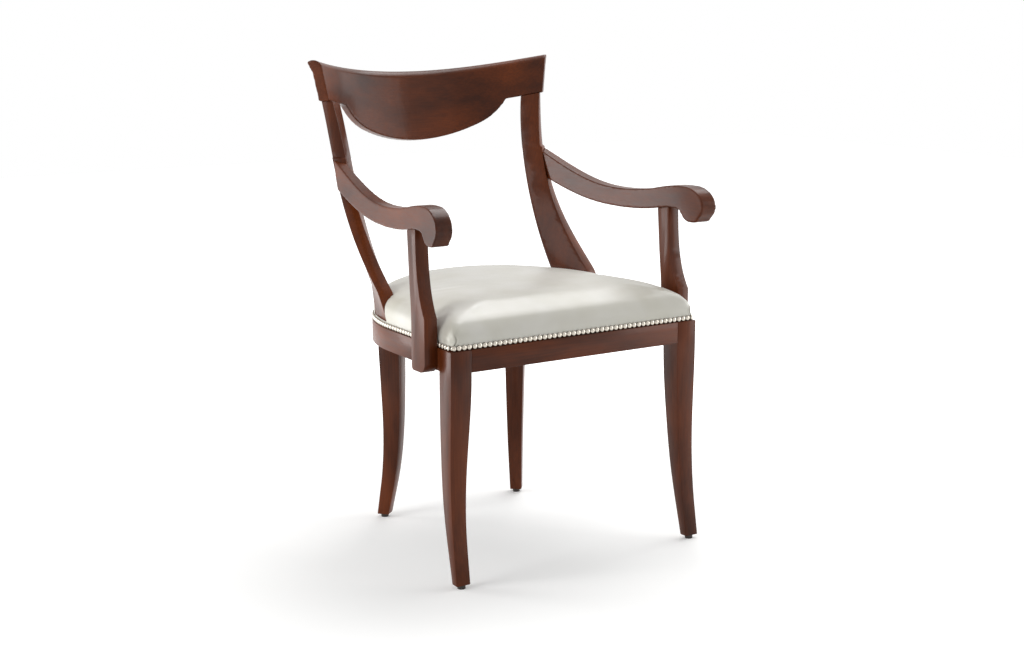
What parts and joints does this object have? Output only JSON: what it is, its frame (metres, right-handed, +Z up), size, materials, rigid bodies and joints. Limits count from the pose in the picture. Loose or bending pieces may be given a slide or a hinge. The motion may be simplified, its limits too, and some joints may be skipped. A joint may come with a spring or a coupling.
{
  "type": "dining armchair",
  "caption": "Dining armchair with a curved, rolled crest rail, sabre back stiles, scrolled arms, a domed leather seat edged with decorative nails, and tapered sabre legs.",
  "frame": {"origin": "on the floor under the middle of the chair's outline, halfway across its width and halfway along its depth", "axes": "+X to the right as seen from in front of the chair facing its back, +Y from the front towards the back, +Z up"},
  "size_m": [0.6278, 0.64, 0.9269],
  "materials": {
    "stained_wood": "brown-red stain under a semi-gloss clear lacquer",
    "plain_wood": "unfinished beech",
    "leather": "smooth off-white leather with a soft sheen",
    "foam": "open-cell upholstery foam",
    "nickel_nails": "nickel-plated decorative nail heads, close set",
    "webbing": "woven elastic upholstery webbing",
    "black_cloth": "thin non-woven dust cloth",
    "glide_nylon": "dark moulded nylon"
  },
  "bodies": {
    "root": {"front_rail": "stained_wood", "back_rail": "stained_wood", "crest_rail": "stained_wood", "seat_cover": "leather", "seat_foam": "foam", "nail_trim": "nickel_nails", "webbing_crosswise": "webbing", "webbing_lengthwise": "webbing", "dust_cover": "black_cloth", "rail_tongues": "plain_wood", "stile_tongues": "plain_wood", "crest_tongues": "plain_wood", "arm_tongues": "plain_wood", "front_leg_right": "stained_wood", "front_leg_left": "stained_wood", "rear_leg_right": "stained_wood", "rear_leg_left": "stained_wood", "side_rail_right": "stained_wood", "side_rail_left": "stained_wood", "back_stile_right": "stained_wood", "back_stile_left": "stained_wood", "arm_right": "stained_wood", "arm_left": "stained_wood", "arm_support_right": "stained_wood", "arm_support_left": "stained_wood", "front_block_right": "plain_wood", "front_block_left": "plain_wood", "rear_block_right": "plain_wood", "rear_block_left": "plain_wood", "front_glide_right": "glide_nylon", "front_glide_left": "glide_nylon", "rear_glide_right": "glide_nylon", "rear_glide_left": "glide_nylon"}
  },
  "joints": []
}
